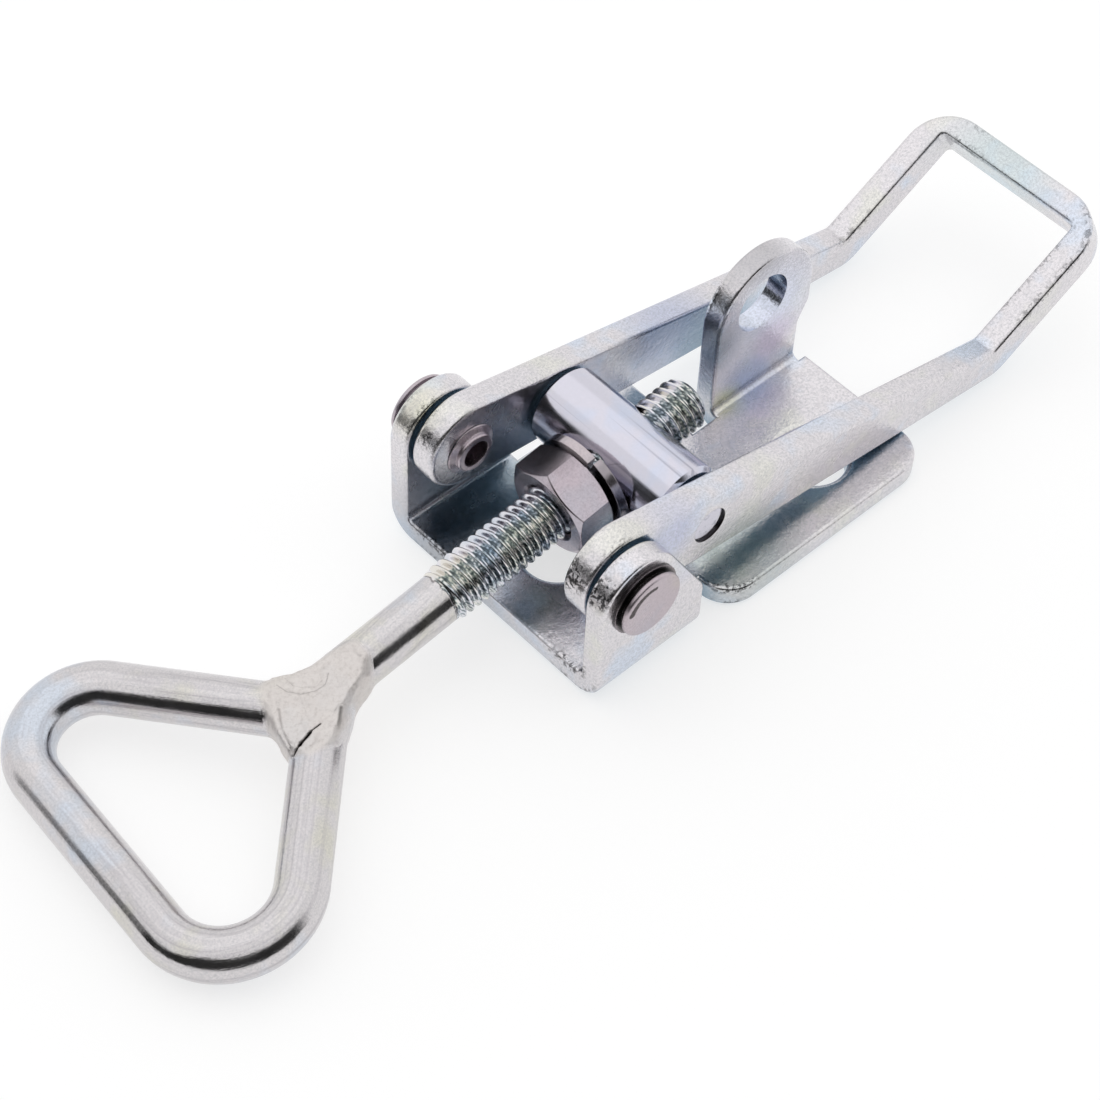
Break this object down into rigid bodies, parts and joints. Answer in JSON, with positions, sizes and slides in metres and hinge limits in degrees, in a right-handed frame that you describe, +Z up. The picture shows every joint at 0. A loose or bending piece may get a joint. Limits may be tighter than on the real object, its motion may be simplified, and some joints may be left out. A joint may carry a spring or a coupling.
{
  "type": "over centre toggle latch",
  "caption": "Over centre toggle latch with a folded base plate, padlock eye, bent strip lever, threaded hook rod and welded triangular catch loop.",
  "frame": {"origin": "centre of the front fixing hole on the underside of the base plate", "axes": "+X along the latch from the hook towards the lever's grip, +Y across it towards the side of the padlock eye's fold, +Z up from the mounting surface"},
  "size_m": [0.1296, 0.0388, 0.0208],
  "materials": {
    "plated_sheet": "bright clear zinc plating on pressed sheet, fine speckle, faint iridescence",
    "plated_wire": "bright zinc plating on drawn wire, nearly a mirror",
    "plated_weld": "zinc plating over a resistance weld, dull and finely cracked",
    "plated_barrel": "bright zinc plating on a turned barrel",
    "plated_nut": "bright zinc plating, slightly satin",
    "plated_rivet": "bright zinc plating on a headed rivet"
  },
  "bodies": {
    "base": {"base_plate": "plated_sheet", "far_pivot_rivet": "plated_rivet", "near_pivot_rivet": "plated_rivet"},
    "lever": {"lever": "plated_sheet"},
    "trunnion": {"trunnion_barrel": "plated_barrel"},
    "washer": {"spring_washer": "plated_nut"},
    "hook": {"threaded_rod": "plated_wire", "catch_loop": "plated_wire", "weld_bead": "plated_weld"},
    "nut": {"hex_nut": "plated_nut"}
  },
  "joints": [
    {"name": "lever_open", "type": "hinge", "parent": "base", "child": "lever", "pos_m": [-0.00345, 0, 0.0126], "axis": [0, -1, 0], "range_deg": [0, 150]},
    {"name": "trunnion_turn", "type": "hinge", "parent": "lever", "child": "trunnion", "pos_m": [0.00848, 0, 0.01108], "axis": [0, -1, 0], "range_deg": [-150, 0]},
    {"name": "rod_turn", "type": "hinge", "parent": "trunnion", "child": "washer", "pos_m": [0.00848, 0, 0.01108], "axis": [-0.9918, 0, -0.1281], "range_deg": [0, 1800]},
    {"name": "rod_travel", "type": "slide", "parent": "washer", "child": "hook", "axis": [-0.9918, 0, -0.1281], "range_m": [0, 0.005]},
    {"name": "nut_turn", "type": "hinge", "parent": "hook", "child": "nut", "pos_m": [0.00848, 0, 0.01108], "axis": [-0.9918, 0, -0.1281], "range_deg": [0, 60]}
  ],
  "couplings": [
    {"joint": "trunnion_turn", "follows": "lever_open", "ratio": -1},
    {"joint": "rod_travel", "follows": "rod_turn", "m_per_rad": 0.00015915}
  ]
}
